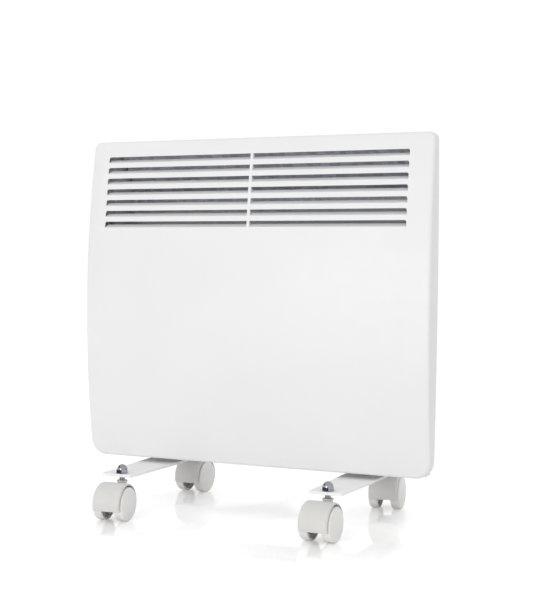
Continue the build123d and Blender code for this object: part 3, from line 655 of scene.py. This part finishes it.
@dataclass(frozen=True)
class Controls:
    """Thermostat, switch, terminals, wiring, bush and earth screw, with the printed marks."""

    bezel: MouldedPlastic = MouldedPlastic("bezel_plastic", (0.78, 0.78, 0.78), roughness=0.5)
    knob: MouldedPlastic = MouldedPlastic("knob_plastic", (0.74, 0.74, 0.75), roughness=0.42)
    switch: MouldedPlastic = MouldedPlastic("switch_plastic", (0.035, 0.035, 0.037), roughness=0.38)
    rocker: MouldedPlastic = MouldedPlastic("rocker_plastic", (0.04, 0.04, 0.042), roughness=0.22)
    terminals: MouldedPlastic = MouldedPlastic("terminal_plastic", (0.74, 0.73, 0.68))
    bush: MouldedPlastic = MouldedPlastic("bush_plastic", (0.05, 0.05, 0.05), roughness=0.6)
    brass: WorkedMetal = WorkedMetal("earth_brass", (0.68, 0.52, 0.24))
    sleeve: BraidedSleeve = BraidedSleeve("lead_sleeve", (0.42, 0.20, 0.10))
    grey_ink: PrintedInk = PrintedInk("grey_ink", (0.10, 0.105, 0.11))
    white_ink: PrintedInk = PrintedInk("white_ink", (0.80, 0.80, 0.80))
    dial: DialMarks = DialMarks()
    rocker_marks: RockerMarks = RockerMarks()

    def build(self) -> None:
        """Dresses the controls' nodes and prints their marks."""
        dress(self.switch, "thermostat_body", "switch_housing")
        dress(self.bezel, "control_bezel")
        dress(self.knob, "thermostat_knob")
        dress(self.rocker, "switch_rocker")
        dress(self.terminals, "terminal_block")
        dress(self.bush, "cord_bush")
        dress(self.brass, "earth_screw")
        dress(self.sleeve, "internal_leads")
        self.dial.build(self.grey_ink.material())
        self.rocker_marks.build(self.white_ink.material())


@dataclass(frozen=True)
class CastorKit:
    """Leg plates, stems, nuts and the four twin-wheel castors."""

    plate: PowderCoat = PowderCoat("plate_enamel", (0.95, 0.95, 0.955), roughness=0.55, gloss=0.2)
    nut: WorkedMetal = WorkedMetal(
        "bright_nut", (0.33, 0.34, 0.38), roughness=0.10, lines=(500.0, 500.0, 500.0)
    )
    stem: WorkedMetal = WorkedMetal("turned_steel", (0.28, 0.28, 0.30), roughness=0.3)
    axle: WorkedMetal = WorkedMetal("ground_steel", (0.5, 0.5, 0.52), roughness=0.25)
    hood: MouldedPlastic = MouldedPlastic("hood_nylon", (0.72, 0.715, 0.695), roughness=0.5)
    wheel: MouldedPlastic = MouldedPlastic("wheel_nylon", (0.90, 0.88, 0.855), roughness=0.5)

    def build(self) -> None:
        dress(self.plate, "leg_plate_left", "leg_plate_right")
        dress(self.nut, "castor_nuts")
        dress(self.stem, "castor_stems")
        dress(self.hood, *(f"castor_hood_{corner.value}" for corner in Corner))
        dress(self.axle, *(f"castor_axle_{corner.value}" for corner in Corner))
        wheels = [f"castor_wheel_{corner.value}_{side.value}" for corner in Corner for side in Side]
        dress(self.wheel, *wheels)


# ---- studio -------------------------------------------------------------------------


@dataclass(frozen=True)
class Floor:
    """White floor that keeps shadows, is polished only near the castors, and is lifted less near them:
    painted shade round the castors.
    """

    half_size: float = 6.0
    grid_cells: int = 4
    drop: float = 0.2 * MM
    tone: float = 0.94
    roughness: float = 0.05
    ior: float = 1.5
    gloss: float = 0.9
    # the lift is weaker near the castors, which paints shade on the floor round them
    lift_near: float = 0.22
    lift_far: float = 0.33
    polish_core: float = 0.02
    polish_reach: float = 0.13
    castor_spots: tuple[Point, ...] = (
        (-0.132, -0.107, 0.0),
        (0.134, -0.107, 0.0),
        (-0.134, 0.101, 0.0),
        (0.137, 0.101, 0.0),
    )

    def build(self) -> None:
        """Lays the floor."""
        shape = bmesh.new()
        bmesh.ops.create_grid(
            shape, x_segments=self.grid_cells, y_segments=self.grid_cells, size=self.half_size
        )
        mesh = bpy.data.meshes.new("floor")
        shape.to_mesh(mesh)
        shape.free()
        mesh.materials.append(self.material())
        floor = bpy.data.objects.new("floor", mesh)
        floor.location = (0.0, 0.0, -self.drop)
        bpy.context.scene.collection.objects.link(floor)

    def material(self) -> bpy.types.Material:
        """Builds the floor's material, lifted to white for the rays that show it, less so near the
        castors as painted shade.

        Returns:
            The new material.
        """
        sheet = ShaderSheet("white_floor")
        sheet.shader.inputs["Base Color"].default_value = (self.tone, self.tone, self.tone, 1.0)
        sheet.shader.inputs["Roughness"].default_value = self.roughness
        sheet.shader.inputs["IOR"].default_value = self.ior
        gloss = self.by_castor_distance(sheet, self.gloss, 0.0)
        sheet.join(gloss, "Result", sheet.shader, "Specular IOR Level")
        level = sheet.add("ShaderNodeMath", operation="MULTIPLY")
        sheet.join(seen_rays(sheet.tree), 0, level, 0)
        # weaker lift near the castors: painted shade on the floor round them
        sheet.join(self.by_castor_distance(sheet, self.lift_near, self.lift_far), "Result", level, 1)
        lift = sheet.add("ShaderNodeEmission")
        lift.inputs["Color"].default_value = WHITE
        sheet.join(level, 0, lift, "Strength")
        total = sheet.add("ShaderNodeAddShader")
        sheet.join(sheet.shader, "BSDF", total, 0)
        sheet.join(lift, "Emission", total, 1)
        sheet.join(total, "Shader", sheet.output, "Surface")
        return sheet.material

    def by_castor_distance(self, sheet: ShaderSheet, near: float, far: float) -> bpy.types.Node:
        """Makes a value that changes with the distance from the nearest castor.

        Args:
            sheet: the floor's shader sheet.
            near: the value at a castor.
            far: the value past the reach of the polish.

        Returns:
            The map range node that carries the value.
        """
        place = sheet.place()
        nearest = None
        for spot in self.castor_spots:
            reach = sheet.add("ShaderNodeVectorMath", operation="DISTANCE")
            reach.inputs[1].default_value = spot
            sheet.join(place, "Object", reach, 0)
            if nearest is None:
                nearest = (reach, "Value")
                continue
            closer = sheet.add("ShaderNodeMath", operation="MINIMUM")
            sheet.join(*nearest, closer, 0)
            sheet.join(reach, "Value", closer, 1)
            nearest = (closer, 0)
        fade = sheet.add("ShaderNodeMapRange", interpolation_type="SMOOTHSTEP")
        fade.inputs["From Min"].default_value = self.polish_core
        fade.inputs["From Max"].default_value = self.polish_reach
        fade.inputs["To Min"].default_value = near
        fade.inputs["To Max"].default_value = far
        sheet.join(*nearest, fade, "Value")
        return fade


@dataclass(frozen=True)
class DarkCards:
    """Dark cards that only gloss sees, for contrast on bright metal: one stands, two lie."""

    colour: Colour = (0.01, 0.01, 0.012)
    roughness: float = 0.9
    cards: tuple[tuple[Point, ...], ...] = (
        ((-0.55, -0.42, 0.25), (-0.55, 0.12, 0.25), (-0.55, 0.12, 0.60), (-0.55, -0.42, 0.60)),
        ((-0.46, -0.43, 0.002), (-0.24, -0.43, 0.002), (-0.24, -0.22, 0.002), (-0.46, -0.22, 0.002)),
        ((-0.19, -0.43, 0.002), (0.03, -0.43, 0.002), (0.03, -0.22, 0.002), (-0.19, -0.22, 0.002)),
    )

    def build(self) -> None:
        """Sets out the cards."""
        shape = bmesh.new()
        for corners in self.cards:
            shape.faces.new([shape.verts.new(corner) for corner in corners])
        mesh = bpy.data.meshes.new("cards")
        shape.to_mesh(mesh)
        shape.free()
        sheet = ShaderSheet("black_card")
        sheet.shader.inputs["Base Color"].default_value = (*self.colour, 1.0)
        sheet.shader.inputs["Roughness"].default_value = self.roughness
        mesh.materials.append(sheet.material)
        card = bpy.data.objects.new("cards", mesh)
        bpy.context.scene.collection.objects.link(card)
        card.visible_camera = False
        card.visible_diffuse = False
        card.visible_shadow = False
        card.visible_transmission = False


@dataclass(frozen=True)
class Surroundings:
    """White surroundings: full white to the camera and to gloss, softer as light."""

    light_level: float = 0.78
    seen_level: float = 1.0

    def build(self) -> None:
        """Builds the world."""
        world = bpy.data.worlds.new("studio")
        bpy.context.scene.world = world
        world.use_nodes = True
        tree = world.node_tree
        tree.nodes.clear()
        mix = tree.nodes.new("ShaderNodeMixShader")
        tree.links.new(seen_rays(tree).outputs[0], mix.inputs[0])
        for socket, level in enumerate((self.light_level, self.seen_level), start=1):
            white = tree.nodes.new("ShaderNodeBackground")
            white.inputs["Color"].default_value = WHITE
            white.inputs["Strength"].default_value = level
            tree.links.new(white.outputs[0], mix.inputs[socket])
        output = tree.nodes.new("ShaderNodeOutputWorld")
        tree.links.new(mix.outputs[0], output.inputs["Surface"])


@dataclass(frozen=True)
class Softbox:
    """A square lamp that faces the heater; its size is in metres and its power in watts."""

    name: str
    place: Point
    size: float
    power: float
    aim: Point = (0.0, 0.0, 0.25)

    def build(self) -> None:
        """Hangs the lamp."""
        data = bpy.data.lights.new(self.name, "AREA")
        data.shape = "SQUARE"
        data.size = self.size
        data.energy = self.power
        lamp = bpy.data.objects.new(self.name, data)
        lamp.location = self.place
        facing = Vector(self.aim) - Vector(self.place)
        lamp.rotation_euler = facing.to_track_quat("-Z", "Y").to_euler()
        bpy.context.scene.collection.objects.link(lamp)


@dataclass(frozen=True)
class Viewpoint:
    """The camera at the photograph's viewpoint."""

    place: Point = (0.7128, -1.4757, 0.338)
    turn: Point = (87.32, 0.0, 25.18)
    lens: float = 80.93
    sensor_height: float = 36.0

    def build(self) -> None:
        """Sets the camera."""
        data = bpy.data.cameras.new("camera")
        data.sensor_fit = "VERTICAL"
        data.sensor_height = self.sensor_height
        data.lens = self.lens
        camera = bpy.data.objects.new("camera", data)
        camera.location = self.place
        camera.rotation_euler = tuple(math.radians(angle) for angle in self.turn)
        bpy.context.scene.collection.objects.link(camera)
        bpy.context.scene.camera = camera


@dataclass(frozen=True)
class Studio:
    """White floor, white surroundings, soft lamps, dark cards and the camera."""

    floor: Floor = Floor()
    cards: DarkCards = DarkCards()
    surroundings: Surroundings = Surroundings()
    key: Softbox = Softbox("key", (-0.5, -3.1, 0.5), size=1.0, power=20.0)
    fill: Softbox = Softbox("fill", (2.6, -1.4, 0.3), size=1.4, power=1.5)
    camera: Viewpoint = Viewpoint()

    def build(self) -> None:
        """Builds the whole studio, with colours shown as they are written."""
        for part in (self.floor, self.cards, self.surroundings, self.key, self.fill, self.camera):
            part.build()
        bpy.context.scene.view_settings.view_transform = "Standard"


def main() -> None:
    """Builds the studio and every sub-assembly, in order."""
    logging.basicConfig(level=logging.INFO, format="%(message)s")
    for part in (Studio(), Casing(), HeatingPack(), Controls(), CastorKit()):
        part.build()
        LOG.info("built %s", type(part).__name__)


if __name__ == "__main__":
    main()
